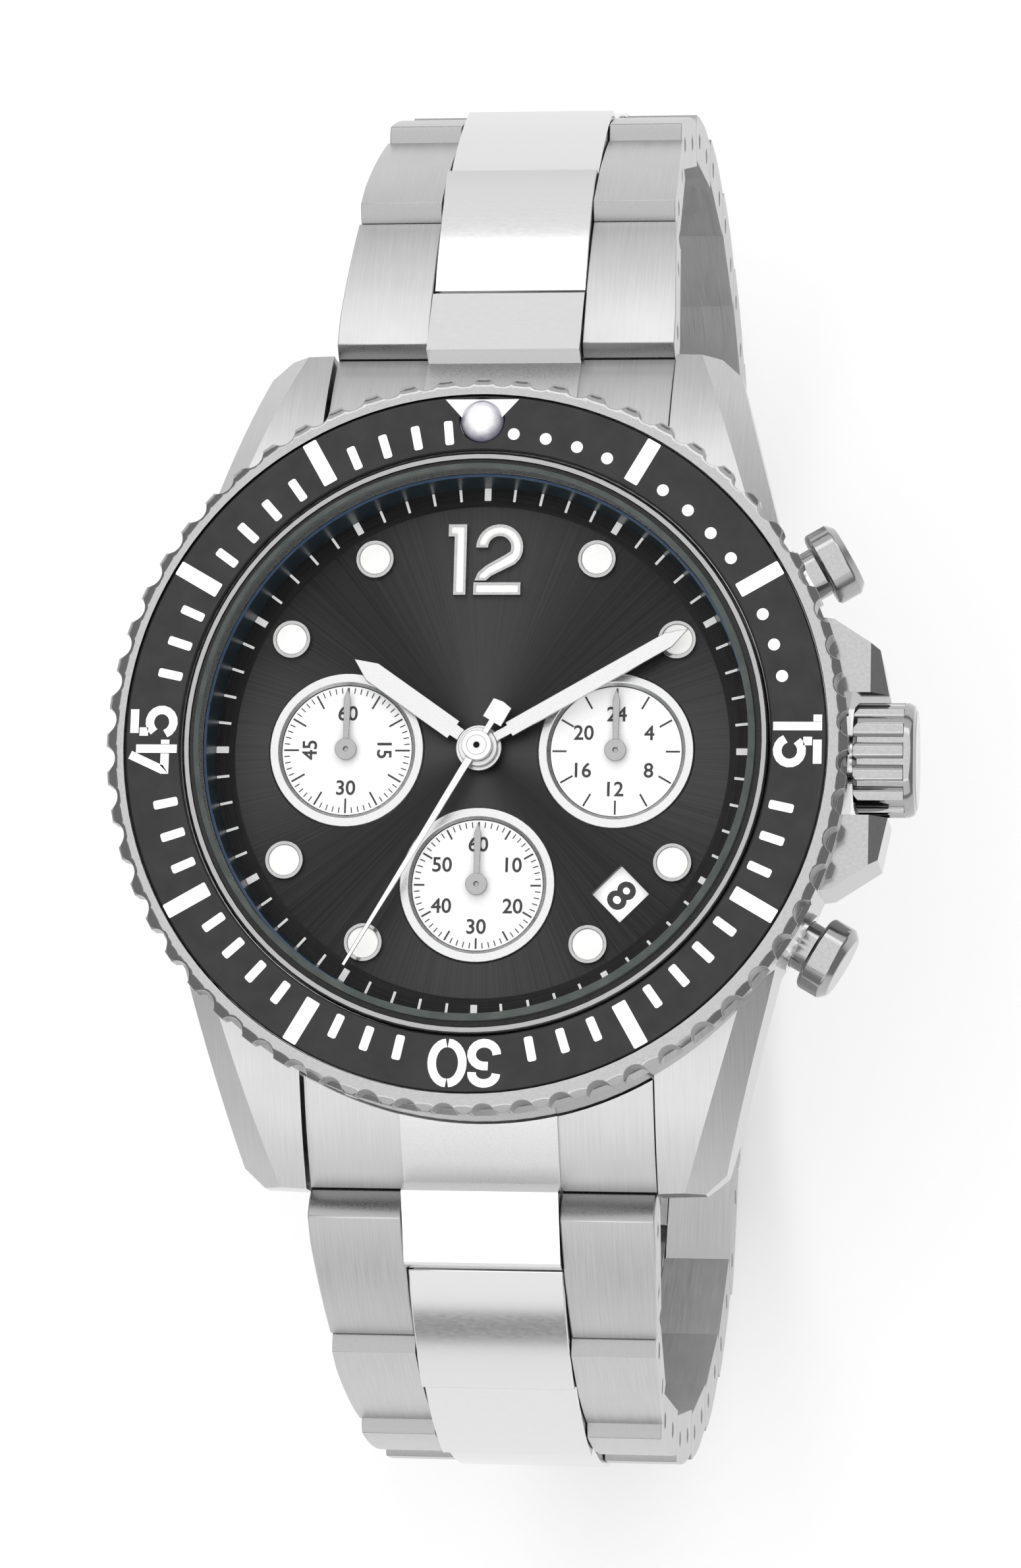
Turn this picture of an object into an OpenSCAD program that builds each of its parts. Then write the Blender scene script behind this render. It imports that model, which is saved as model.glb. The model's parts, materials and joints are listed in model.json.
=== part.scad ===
// Steel dive chronograph on a closed three-row bracelet, millimetres.
// Origin: centre of the case back's outer face. +Z through the crystal, +Y to 12, +X to 3 o'clock.

/* [Case] */
// Diameter over the bezel's grip edge
bezel_d = 42; // [35:0.5:50.5]
// Height of the case band between the back's seat and the bezel's seat
case_h = 7.4; // [7:0.1:9]
// Width of the bracelet between the lugs
lug_gap = 20; // [17:0.5:24]

/* [Crown and pushers] */
// Diameter of the crown
crown_d = 6.5; // [5.4:0.1:7.8]
// Distance that the crown pulls out to set the hands
crown_pull = 1; // [0.4:0.1:1.2]
// Diameter of a pusher's cap
pusher_d = 4.4; // [3.5:0.1:4.6]
// Travel of a pusher
pusher_travel = 0.8; // [0.3:0.1:0.8]

/* [Dial] */
// Outer diameter of a subdial's ring
subdial_d = 9; // [7:0.1:9.4]
// Side of the square date window
date_window = 2.3; // [1.6:0.1:2.6]
// Time shown, in minutes past twelve
shown_minutes = 610; // [0:1:719]
// Second that the centre chronograph hand points at
shown_second = 35; // [0:1:59]

/* [Bracelet] */
// Distance between two hinge pins
link_pitch = 9.6; // [8.4:0.1:11.6]
// Thickness of a link at its middle
link_t = 3.4; // [2.8:0.1:4.1]
// Width of the bracelet at the clasp
clasp_w = 18; // [15.5:0.5:20]
// Width of the middle row
centre_w = 9; // [7:0.5:10]
// Diameter of a hinge pin
pin_d = 1; // [0.8:0.1:1.2]

/* [Hidden] */

steel = "lightgray";
gasket_black = "#202020";
brass = "#b89a5a";
fine = 96;         // facets of a large circle
small = 32;        // facets of a small circle
eps = 0.01;        // overlap of a cut past a face
s = bezel_d / 42;  // scale of everything that follows the bezel

// Levels, from the top face of the dial
seat_z = 0.6;                     // bezel's seat on the case band
bottom_z = seat_z - case_h;       // under side of the case band
back_t = 1.8;                     // case back under the band
dial_z = back_t - bottom_z;       // dial's top face above the origin
ledge_z = 2.25;                   // ledge under the crystal
wall_z = 3.35;                    // top of the wall round the crystal
dial_t = 0.5;
stem_z = -2.6;                    // axis of the crown and pushers
plate_top = -0.55;
plate_bottom = -3.5;
cover_z = -5.15;                  // upper face of the movement's cover

// Radii
case_r = 20.8 * s;
bore_r = 15.6 * s;
wall_r = 16.55 * s;
recess_r = 16.2 * s;
dial_r = 15.5 * s;
plate_r = 13.9 * s;
subdial_at = 7.7 * s;             // subdials from the centre
marker_at = 12.76 * s;            // hour markers from the centre
date_at = 11.5 * s;               // date window from the centre
date_turn = 135;                  // date window, clockwise from 12
subdials = [[subdial_at, 0], [0, -subdial_at], [-subdial_at, 0]];
pearl_at = 18.4 * s;              // pearl of the bezel from the centre
pearl_r = 1.27 * s;
run = 0.05;                       // radial clearance of a running fit
insert_r = 19.85 * s;             // outer edge of the bezel's insert

// Crown and pushers
crown_x0 = 21 * s;
crown_l = 3.6;
tube_r = 1.45;                    // outer radius of the crown's tube
neck_r = 1.45;                    // thick part of a pusher's stem
pusher_tube_r = neck_r + run + 0.3;
pusher_turn = 30;                 // pushers, either side of 3 o'clock
pusher_r0 = 21.9 * s;
pusher_l = 1.8;
neck_seat = 18.4 * s;             // where a pusher tube's wide bore ends

// Lugs: the top follows an arc in side view
lug_tip = 24.5 * s;
lug_in = lug_gap / 2 + 0.1;
lug_flank = min(lug_in + 6.3 * s, 16.45 * s);   // clears the pushers' caps
lug_arc_r = 26 * s;
lug_arc_y = 8 * s;
lug_arc_z = 0.5 - lug_arc_r;
bar_y = 22.3 * s;                 // spring bar
bar_z = -7;
bar_r = 0.75;

// Bracelet: hinge pins lie on a chain that turns down from the lugs and under to the clasp.
// A heading is a link's slope below the horizontal; the last one on the 6 o'clock side
// brings both chains to the same height, so that the clasp lies level.
end_heading = 27;                 // slope of the end link's tongue
headings_12 = [25, 50, 72, 84, 96, 107, 118, 138];
first_headings_6 = [48, 68, 86, 95, 105, 116, 130];
headings_6 = concat(first_headings_6, 180 - asin(drop(headings_12, 8) - drop(first_headings_6, 7)));
pivot_y = 26.4 * s;
pivot_z = -7.4;
link_out = 0.56 * link_t;         // hinge axis to the outer face
link_in = link_t - link_out;      // hinge axis to the inner face
knuckle_r = link_pitch / 4;
knuckle_gap = 0.05;
row_gap = 0.06;                   // between the rows, sideways
arch_r = 30;                      // curve of a link's outer face along the chain
row_step = 0.25;                  // the middle row stands this much above the outer rows
pin_r = pin_d / 2;

// Fall and reach of the first n links, in pitches
function drop(headings, n) = n == 0 ? 0 : drop(headings, n - 1) + sin(headings[n - 1]);
function reach(headings, n) = n == 0 ? 0 : reach(headings, n - 1) + cos(headings[n - 1]);
function chain_y(headings, n) = pivot_y + link_pitch * reach(headings, n);
function chain_z(headings, n) = pivot_z - link_pitch * drop(headings, n);
function chain_w(n) = max(clasp_w, lug_gap - 0.1 - n * (lug_gap - clasp_w) * 0.5);

// Clasp: its own axis runs from the 6 o'clock chain to the 12 o'clock chain
clasp_y = -chain_y(headings_6, 8);                   // its hinge on the 6 o'clock side
clasp_l = chain_y(headings_12, 8) - clasp_y;         // between the two end pins
floor_z = link_out + 0.1;         // inner face of the cover's floor
floor_t = 1;
wall_t = 0.9;
blade_w = clasp_w - 2 * wall_t - 0.6;
blade_t = 0.8;
outer_blade_z = floor_z - 0.15 - blade_t;
inner_blade_z = outer_blade_z - 0.35 - blade_t;
fold_y = 7;                       // fold between the two blades
fold_z = (outer_blade_z + inner_blade_z + blade_t) / 2;
hook_y = clasp_l - 8;             // hinge between the cover and the outer blade
hinge_r = 1;

// Places its children in the frame whose zero is the dial's top face
module at_dial() { translate([0, 0, dial_z]) children(); }

module disc(r, z0, z1, n = fine) { translate([0, 0, z0]) cylinder(r = r, h = z1 - z0, $fn = n); }

module ring(r_in, r_out, z0, z1, n = fine) {
    difference() {
        disc(r_out, z0, z1, n);
        disc(r_in, z0 - eps, z1 + eps, n);
    }
}

// Cylinder along +X from x0 to x1 at the height of the stem
module along_x(r, x0, x1, n = small) {
    translate([x0, 0, stem_z]) rotate([0, 90, 0]) cylinder(r = r, h = x1 - x0, $fn = n);
}

// Cylinder across the bracelet, centred on x = 0
module across(r, w, y = 0, z = 0, n = small) {
    translate([-w / 2, y, z]) rotate([0, 90, 0]) cylinder(r = r, h = w, $fn = n);
}

// Extrudes a side view drawn as (y, z) across the bracelet from x0 to x1
module side(x0, x1) {
    translate([x0, 0, 0]) rotate([90, 0, 90]) linear_extrude(x1 - x0) children();
}

module at_pushers() { for (a = [pusher_turn, -pusher_turn]) rotate([0, 0, a]) children(); }

// Clockwise from 12, as on a dial
module at_hour(h) { rotate([0, 0, -30 * h]) children(); }

/* Case */

module band_profile() {
    polygon([
        [bore_r, bottom_z], [case_r - 1.4, bottom_z], [case_r, bottom_z + 1.4],
        [case_r, seat_z - 0.3], [case_r - 0.3, seat_z], [wall_r, seat_z], [wall_r, wall_z - 0.1],
        [wall_r - 0.1, wall_z], [recess_r, wall_z], [recess_r, ledge_z], [bore_r, ledge_z]]);
}

module lug_plan() {
    polygon([
        [lug_in, 12 * s], [lug_in, lug_tip], [lug_in + 2.6, lug_tip - 0.1],
        [lug_in + 3.8, lug_tip - 1.2], [lug_flank, 14 * s], [17.6 * s, 9 * s],
        [12 * s, 9 * s]]);
}

module lug_side() {
    intersection() {
        union() {
            translate([lug_arc_y, lug_arc_z]) circle(r = lug_arc_r, $fn = 180);
            translate([0, -20]) square([lug_arc_y, 20.5]);
        }
        polygon([
            [0, 5], [0, bottom_z + 1], [15.5 * s, bottom_z + 1], [16.5 * s, bottom_z],
            [lug_tip - 3, -9], [lug_tip - 0.7, -8.6], [lug_tip, -7.8], [lug_tip, 5]]);
    }
}

// Slanting polished face along the lug's outer edge, revolved about the lug's side arc
module lug_chamfer() {
    reach = 6;
    wide = 1.2;
    translate([lug_in + 7.9 * s, lug_arc_y, lug_arc_z]) rotate([0, 0, 15]) rotate([0, 90, 0])
        rotate_extrude($fn = 180) polygon([
            [lug_arc_r - wide - 1, 1], [lug_arc_r + reach, -wide - reach],
            [lug_arc_r + reach, 1]]);
}

module lug() {
    difference() {
        intersection() {
            side(0, 30 * s) lug_side();
            translate([0, 0, -12]) linear_extrude(14) lug_plan();
        }
        lug_chamfer();
    }
}

module crown_guard() {
    inner = crown_d / 2 + 0.25;
    root = 18.5 * s;
    difference() {
        translate([0, 0, bottom_z + 1.2]) linear_extrude(-bottom_z - 1.5)
            polygon([
                [root, inner], [root, inner + 4.4], [19.9 * s, inner + 4.2],
                [22.5 * s, inner + 2.5], [23 * s, inner]]);
        translate([23.4 * s, 0, -0.3]) rotate([0, 45, 0]) cube([2, 40, 2], center = true);
    }
}

module mid_case() {
    color(steel) at_dial() difference() {
        union() {
            rotate_extrude($fn = fine) band_profile();
            difference() {
                for (m = [0, 1], n = [0, 1]) mirror([m, 0, 0]) mirror([0, n, 0]) lug();
                disc(17.6 * s, -12, 5);
            }
            for (n = [0, 1]) mirror([0, n, 0]) crown_guard();
        }
        ring(17.6 * s, 19.4 * s, 0.1, 2);
        along_x(0.8, 12 * s, 20 * s);
        along_x(tube_r + 0.01, 17.5 * s, 26 * s);
        at_pushers() along_x(0.95, 12 * s, 20 * s);
        at_pushers() along_x(pusher_tube_r + 0.01, 18 * s, 26 * s);
        for (n = [1, -1]) across(0.45, 2 * lug_in + 2.2, n * bar_y, bar_z);
    }
}

module case_back() {
    r = 16.4 * s;
    top = bottom_z - 0.04;
    out = bottom_z - back_t;
    color(steel) at_dial() difference() {
        rotate_extrude($fn = fine) polygon([
            [0, out], [r - 0.6, out], [r, out + 0.6], [r, top],
            [16.15 * s, top], [16.15 * s, top - 0.5], [15.7 * s, top - 0.5], [15.7 * s, top],
            [bore_r - 0.12, top], [bore_r - 0.12, bottom_z + 0.6], [bore_r - 0.8, bottom_z + 0.6],
            [bore_r - 0.8, top - 0.4], [0, top - 0.4]]);
        for (i = [0:5]) rotate([0, 0, 60 * i])
            translate([r - 1.2, -1, out - eps]) cube([2, 2, 0.5]);
    }
}

module case_back_gasket() {
    color(gasket_black) at_dial() ring(15.75 * s, 16.1 * s, bottom_z - 0.5, bottom_z - 0.03);
}

module crystal() {
    r = recess_r - 0.35;
    color("azure", 0.35) at_dial() rotate_extrude($fn = fine) polygon([
        [0, ledge_z + 0.02], [r, ledge_z + 0.02], [r, 3.75], [r - 0.35, 4.1], [0, 4.1]]);
}

module crystal_gasket() {
    color(gasket_black) at_dial()
        ring(recess_r - 0.33, recess_r - 0.02, ledge_z + 0.02, wall_z - 0.15);
}

module inner_flange() {
    color(gasket_black) at_dial() rotate_extrude($fn = fine) polygon([
        [15.25 * s, 0.03], [bore_r - 0.04, 0.03], [bore_r - 0.04, ledge_z - 0.03],
        [15.4 * s, ledge_z - 0.03]]);
}

module click_spring() {
    color(steel) at_dial() {
        ring(17.8 * s, 19.2 * s, 0.12, 0.4);
        for (i = [0:2]) rotate([0, 0, 120 * i + 90])
            translate([18 * s, -0.6, 0.3]) cube([1, 1.2, 0.4]);
    }
}

/* Bezel */

module bezel_ring() {
    r = bezel_d / 2;
    notches = 60;
    color(steel) at_dial() difference() {
        rotate_extrude($fn = fine) polygon([
            [16.62 * s, 0.75], [r - 1.1, 0.75], [r, 1.5], [r, 2.9], [r - 0.3, 3.2],
            [insert_r + 0.25, 3.5], [insert_r + 0.05 * s, 3.5], [insert_r + 0.05 * s, 2.95],
            [16.62 * s, 2.95]]);
        for (i = [0:notches - 1]) rotate([0, 0, 360 / notches * (i + 0.5)])
            translate([r + 0.2 * s, 0, 0]) disc(0.75 * s, 0.5, 4, small);
        for (i = [0:notches - 1]) rotate([0, 0, 360 / notches * i])
            translate([17.9 * s, -0.35, 0.7]) cube([1.3, 0.7, 0.35]);
    }
}

module bezel_insert() {
    color("black") at_dial() difference() {
        rotate_extrude($fn = fine) polygon([
            [16.68 * s, 2.97], [insert_r, 2.97], [insert_r, 3.35], [insert_r - 0.1, 3.45],
            [16.78 * s, 3.45], [16.68 * s, 3.35]]);
        translate([0, pearl_at, 0]) disc(pearl_r + 0.02, 2.9, 4, small);
    }
}

module bezel_pearl() {
    color("white") at_dial() translate([0, pearl_at, 0]) intersection() {
        translate([0, 0, 2.95]) sphere(r = pearl_r, $fn = small);
        disc(2, 2.97, 5, small);
    }
}

/* Dial */

module dial() {
    recess = 0.12;
    color("#101014") at_dial() difference() {
        disc(dial_r, -dial_t, 0);
        disc(0.95, -1, 1, small);
        for (p = subdials) translate([p[0], p[1], 0]) {
            disc(subdial_d / 2 - 0.75 * s, -recess, 1);
            disc(0.3, -1, 1, small);
        }
        rotate([0, 0, -date_turn]) translate([0, date_at, 0])
            cube([date_window, date_window, 2], center = true);
    }
}

module hour_markers() {
    color("white") at_dial() for (h = [1, 2, 4, 5, 7, 8, 10, 11]) at_hour(h)
        translate([0, marker_at, 0]) difference() {
            disc(1.1 * s, 0, 0.35, small);
            disc(0.875 * s, 0.25, 1, small);
        }
}

module digit_one() {
    polygon([[-2.15, 2.05], [-1.1, 2.05], [-1.1, -2.05], [-1.8, -2.05], [-1.8, 1.35], [-2.15, 1.35]]);
}

function bow(r, from, to, steps) =
    [for (i = [0:steps]) r * [cos(from + (to - from) * i / steps), sin(from + (to - from) * i / steps)]];

// A bowl that runs down to the left, above a separate foot
module digit_two() {
    polygon(concat(
        bow(1.35, 180, -30, 20),
        [[0.9, -0.97], [-0.45, -1.65], [-0.75, -1.92], [-1.4, -1.92], [-1.2, -1.45], [-0.75, -1.05],
        [0.35, -0.42]],
        bow(0.67, -20, 180, 14)));
    translate([-1.45, -2.75]) square([2.7, 0.72]);
}

module numeral_shape() {
    scale([s, s]) {
        digit_one();
        translate([0.8, 0.7]) digit_two();
    }
}

// Raised frame round a sunken field
module numeral_12() {
    color("white") at_dial() translate([0, 11 * s, 0]) difference() {
        linear_extrude(0.4) numeral_shape();
        translate([0, 0, 0.3]) linear_extrude(1) offset(delta = -0.14 * s) numeral_shape();
    }
}

module subdial_rings() {
    color(steel) at_dial() for (p = subdials) translate([p[0], p[1], 0])
        rotate_extrude($fn = fine) polygon([
            [subdial_d / 2 - 0.75 * s, 0], [subdial_d / 2, 0], [subdial_d / 2 - 0.1, 0.18],
            [subdial_d / 2 - 0.55 * s, 0.18]]);
}

/* Movement */

battery_at = [-6.2 * s, -6.2 * s];
battery_r = 4.75 * s;
coil_l = 6.4 * s;
wheel_y = 3.2 * s;
wheel_r = 2 * s;

module at_coils() { for (a = [45, 135, -45]) rotate([0, 0, a]) translate([8.6 * s, 0, -4.25]) children(); }

module main_plate() {
    color(brass) at_dial() difference() {
        disc(plate_r, plate_bottom, plate_top);
        ring(9.6 * s, 13.4 * s, plate_top - 0.4, 1);
        disc(0.95, -8, 1, small);
        for (p = subdials) translate([p[0], p[1], 0]) disc(0.25, -8, 1, small);
        translate([0, wheel_y, 0]) {
            disc(wheel_r + 0.15, plate_top - 0.75, 1, small);
            disc(0.35, -2.2, 1, small);
        }
        translate([battery_at[0], battery_at[1], 0]) disc(battery_r + 0.1, -8, -2.95);
        along_x(0.6, 7.5 * s, 20 * s);
    }
}

module movement_holder() {
    color("white") at_dial() difference() {
        ring(plate_r + 0.1, bore_r - 0.15, cover_z - 0.5, -dial_t - 0.02);
        along_x(0.8, 10 * s, 20 * s);
    }
}

module battery() {
    color("silver") at_dial() translate([battery_at[0], battery_at[1], 0]) {
        disc(battery_r, cover_z - 0.1, -3.4);
        disc(battery_r - 0.7, -3.5, -3);
    }
}

module circuit_board() {
    color("darkgreen") at_dial() difference() {
        disc(plate_r - 0.4, plate_bottom - 0.4, plate_bottom - 0.02);
        translate([battery_at[0], battery_at[1], 0]) disc(battery_r + 0.2, -8, 0);
        at_coils() cube([2, coil_l + 1.4, 3], center = true);
    }
}

module motor_coils() {
    color("#b5651d") at_dial() at_coils() rotate([90, 0, 0]) {
        cylinder(r = 0.7, h = coil_l, center = true, $fn = small);
        for (n = [1, -1]) translate([0, 0, n * coil_l / 2])
            cube([1.5, 1.4, 0.5], center = true);
    }
}

module movement_cover() {
    color("silver") at_dial() difference() {
        disc(plate_r - 0.6, cover_z - 0.25, cover_z);
        translate([battery_at[0], battery_at[1], 0]) disc(battery_r + 0.2, -8, 0);
    }
}

module motion_wheel() {
    color(brass) at_dial() translate([0, wheel_y, 0]) {
        difference() {
            disc(wheel_r, plate_top - 0.65, plate_top - 0.3, small);
            for (i = [0:3]) rotate([0, 0, 90 * i]) translate([1.15 * s, 0, 0]) disc(0.4 * s, -3, 1, small);
        }
        disc(0.3, -2.1, plate_top - 0.3, small);
    }
}

module date_ring() { color("white") at_dial() ring(9.7 * s, 13.3 * s, plate_top - 0.35, plate_top - 0.1); }

/* Hands */

hour_turn = shown_minutes / 2;
minute_turn = 6 * shown_minutes;
second_turn = 6 * shown_second;

// Flat lance between a waist and a point, drawn along +Y
module lance(neck, wide, y0, y1, y2, y3) {
    polygon([
        [-neck, y0], [neck, y0], [neck, y1], [wide, y1], [wide, y2], [0, y3], [-wide, y2],
        [-wide, y1], [-neck, y1]]);
}

module hand_hub(r_out, r_in, z0, z1) {
    difference() {
        disc(r_out, z0, z1, small);
        disc(r_in, z0 - eps, z1 + eps, small);
    }
}

module hour_hand() {
    color(steel) at_dial() rotate([0, 0, -hour_turn]) difference() {
        union() {
            translate([0, 0, 0.75]) linear_extrude(0.22)
                lance(0.36 * s, 0.6 * s, -0.5 * s, 1.8 * s, 7.6 * s, 8.9 * s);
            disc(1.3, 0.75, 1, small);
            disc(0.85, -0.9, 1, small);
        }
        disc(0.56, -2, 3, small);
    }
}

module minute_hand() {
    color(steel) at_dial() rotate([0, 0, -minute_turn]) difference() {
        union() {
            translate([0, 0, 1.15]) linear_extrude(0.22)
                lance(0.27 * s, 0.45 * s, -0.5 * s, 2 * s, 12.3 * s, 13.6 * s);
            disc(1.1, 1.15, 1.42, small);
            disc(0.51, -1.6, 1.42, small);
        }
        disc(0.25, -3, 3, small);
    }
}

module chrono_seconds_hand() {
    color(steel) at_dial() rotate([0, 0, -second_turn]) {
        translate([0, 0, 1.6]) linear_extrude(0.16) {
            polygon([[-0.22 * s, 0], [0.22 * s, 0], [0.1 * s, 14.5 * s], [-0.1 * s, 14.5 * s]]);
            lance(0.17 * s, 0.6 * s, 0, -1.6 * s, -2.8 * s, -2.9 * s);
        }
        disc(0.85, 1.6, 1.95, small);
        disc(0.2, -2.2, 1.9, small);
    }
}

// Small hand of a subdial, at one of the three centres, pointing up
module small_hand(at) {
    color(steel) at_dial() translate([at[0], at[1], 0]) difference() {
        union() {
            translate([0, 0, 0.3]) linear_extrude(0.14) scale([s, s])
                polygon([[-0.14, 0], [0.14, 0], [0.2, 2.9], [0, 3.5], [-0.2, 2.9]]);
            disc(0.62, 0.22, 0.52, small);
            disc(0.2, -1.6, 0.5, small);
        }
        disc(0.14, 0.3, 1, small);
    }
}

module day_hand() { small_hand(subdials[0]); }
module small_seconds_hand() { small_hand(subdials[1]); }
module chrono_minutes_hand() { small_hand(subdials[2]); }

/* Crown and pushers */

module crown_tube() {
    color(steel) at_dial() difference() {
        along_x(tube_r, 17.6 * s, crown_x0 + 1.2);
        along_x(0.78, 10, 30 * s);
    }
}

module pusher_tubes() {
    color(steel) at_dial() at_pushers() difference() {
        along_x(pusher_tube_r, 18.1 * s, pusher_r0 - pusher_travel - 0.06);
        along_x(neck_r + run, neck_seat, 30 * s);
        along_x(0.9, 10, 30 * s);
    }
}

module crown() {
    flutes = 16;
    r = crown_d / 2;
    color(steel) at_dial() difference() {
        translate([crown_x0, 0, stem_z]) rotate([0, 90, 0]) difference() {
            rotate_extrude($fn = fine) polygon([
                [0, 0.05], [r - 0.25, 0.05], [r, 0.3], [r, crown_l - 0.45],
                [r - 0.15, crown_l - 0.15], [r - 0.5, crown_l], [0, crown_l]]);
            for (i = [0:flutes - 1]) rotate([0, 0, 360 / flutes * i])
                translate([r + 0.2, 0, -0.5]) cylinder(r = 0.52, h = crown_l - 0.2, $fn = small);
        }
        along_x(tube_r + run, crown_x0 - 1, crown_x0 + 1.3);
        along_x(0.52, crown_x0, crown_x0 + 2.05);
    }
}

module setting_stem() { color(steel) at_dial() along_x(0.5, 8.4 * s, crown_x0 + 2); }

module crown_gasket() {
    color(gasket_black) at_dial() difference() {
        along_x(0.75, 19.4 * s, 20 * s);
        along_x(0.53, 10, 30 * s);
    }
}

module pusher() {
    r = pusher_d / 2;
    at_dial() {
        translate([pusher_r0, 0, stem_z]) rotate([0, 90, 0]) rotate_extrude($fn = fine) polygon([
            [0, 0], [r - 0.15, 0], [r, 0.15], [r, pusher_l - 0.4], [r - 0.4, pusher_l], [0, pusher_l]]);
        along_x(0.85, 16.4 * s, pusher_r0);
        along_x(neck_r, neck_seat + pusher_travel + 0.1, pusher_r0 + 0.3);
    }
}

module upper_pusher() { color(steel) rotate([0, 0, pusher_turn]) pusher(); }
module lower_pusher() { color(steel) rotate([0, 0, -pusher_turn]) pusher(); }

/* Bracelet. A link's own frame: hinge axis at zero, +Y along the chain, +Z outwards. */

module strip(y0, y1) { translate([y0, -link_in]) square([y1 - y0, link_t]); }

// Round nose about a hinge axis, on one side of it
module nose(y, turn) {
    intersection() {
        translate([y, 0]) circle(r = knuckle_r - knuckle_gap, $fn = 64);
        strip(turn < 0 ? y - knuckle_r : y - eps, turn < 0 ? y + eps : y + knuckle_r);
    }
}

module outer_row_side() {
    difference() {
        union() {
            nose(0, -1);
            strip(0, link_pitch);
        }
        translate([link_pitch, 0]) circle(r = knuckle_r + knuckle_gap, $fn = 64);
        circle(r = pin_r + 0.02, $fn = small);
        translate([link_pitch / 2, 0]) circle(r = pin_r + 0.02, $fn = small);
    }
}

module centre_row_side() {
    difference() {
        union() {
            strip(0, link_pitch);
            nose(link_pitch, 1);
        }
        circle(r = knuckle_r + knuckle_gap, $fn = 64);
        translate([link_pitch, 0]) circle(r = pin_r + 0.04, $fn = small);
        translate([link_pitch / 2, 0]) circle(r = pin_r + 0.02, $fn = small);
    }
}

// Limit of a link's outer face: arched about the middle of its piece, lowered by low
module arch(y, low = 0) { across(arch_r, 60, y, link_out - low - arch_r, 360); }

// One link: two outer pieces, the middle piece half a pitch further on, and two pins
module link(w0, w1) {
    inner = centre_w / 2 + row_gap;
    intersection() {
        union() {
            side(-w0, -inner) outer_row_side();
            side(inner, w0) outer_row_side();
        }
        arch(link_pitch / 4, row_step);
        translate([0, 0, -5]) linear_extrude(10) polygon([
            [-w0 / 2, -5], [w0 / 2, -5], [w0 / 2, 0], [w1 / 2, link_pitch],
            [-w1 / 2, link_pitch], [-w0 / 2, 0]]);
    }
    intersection() {
        side(-centre_w / 2, centre_w / 2) centre_row_side();
        arch(link_pitch * 3 / 4);
    }
    across(pin_r, w0 - 0.6);
    across(pin_r, w1 - 0.6, link_pitch / 2);
}

// n = 1 is the link next to the end link
module chain_link(n, headings) {
    color(steel) at_dial() translate([0, chain_y(headings, n - 1), chain_z(headings, n - 1)])
        rotate([-headings[n - 1], 0, 0]) link(chain_w(n - 1), chain_w(n));
}

module six_side() { rotate([0, 0, 180]) children(); }

module end_link() {
    half = lug_gap / 2 - 0.05;
    inner = centre_w / 2 + row_gap;
    arc = lug_arc_r - 0.6;
    color(steel) at_dial() difference() {
        union() {
            side(-half, half) intersection() {
                translate([lug_arc_y, lug_arc_z]) circle(r = arc, $fn = 180);
                translate([18 * s, -9.2]) square([pivot_y - 18 * s, 12]);
            }
            side(-centre_w / 2, centre_w / 2) intersection() {
                translate([lug_arc_y, lug_arc_z]) circle(r = arc + row_step, $fn = 180);
                translate([18 * s, -9.2]) square([pivot_y - 1.6 - 18 * s, 12]);
            }
            translate([0, pivot_y, pivot_z]) rotate([-end_heading, 0, 0])
                side(-centre_w / 2, centre_w / 2) {
                    strip(-3, 0);
                    nose(0, 1);
                }
        }
        disc(case_r + 0.08, -15, 8);
        for (n = [1, -1]) translate([n * (inner + 10) - 10, pivot_y, pivot_z]) rotate([0, 90, 0])
            cylinder(r = knuckle_r + knuckle_gap, h = 20, $fn = 64);
        for (n = [1, -1]) translate([n * (inner + 10) - 10, pivot_y, -12]) cube([20, 10, 20]);
        across(pin_r + 0.04, 30, pivot_y, pivot_z);
        across(bar_r + 0.03, 30, bar_y, bar_z);
    }
}

module end_link_12() { end_link(); }
module end_link_6() { six_side() end_link(); }

module spring_bars() {
    color(steel) at_dial() for (n = [1, -1]) {
        across(bar_r, lug_gap - 0.4, n * bar_y, bar_z);
        across(0.4, 2 * lug_in + 1.6, n * bar_y, bar_z);
    }
}

/* Clasp, in the frame of the 6 o'clock chain's last hinge: +Y towards 12, +Z outwards */

module at_clasp() {
    at_dial() six_side() translate([0, -clasp_y, chain_z(headings_6, 8)])
        rotate([180, 0, 0]) children();
}

module clasp_cover() {
    inner = centre_w / 2 + row_gap;
    end_y = clasp_l - knuckle_r - 0.2;
    color(steel) at_clasp() difference() {
        union() {
            for (n = [0, 1]) mirror([n, 0, 0]) side(inner, clasp_w / 2) {
                nose(0, -1);
                strip(0, 3.4);
            }
            translate([-clasp_w / 2, 2.6, floor_z]) cube([clasp_w, end_y - 2.6, floor_t]);
            for (n = [0, 1]) mirror([n, 0, 0])
                translate([clasp_w / 2 - wall_t, 3, -0.8]) cube([wall_t, end_y - 6, floor_z + 0.8 + eps]);
            translate([-clasp_w / 2, 2.6, 0]) cube([clasp_w, 0.8, floor_z + eps]);
            across(0.45, clasp_w - 0.4, hook_y, fold_z);
        }
        across(pin_r + 0.02, 30, 0, 0);
        translate([-inner, -5, -5]) cube([2 * inner, 5 + knuckle_r + knuckle_gap, 10]);
    }
}

// Flat plate with a barrel at each end; the barrels keep to |x| between x0 and x1
module barrel(y, z, x0, x1) {
    for (n = [0, 1]) mirror([n, 0, 0]) difference() {
        translate([x0, y, z]) rotate([0, 90, 0]) cylinder(r = hinge_r, h = x1 - x0, $fn = small);
        across(0.5, 30, y, z);
    }
}

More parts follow.
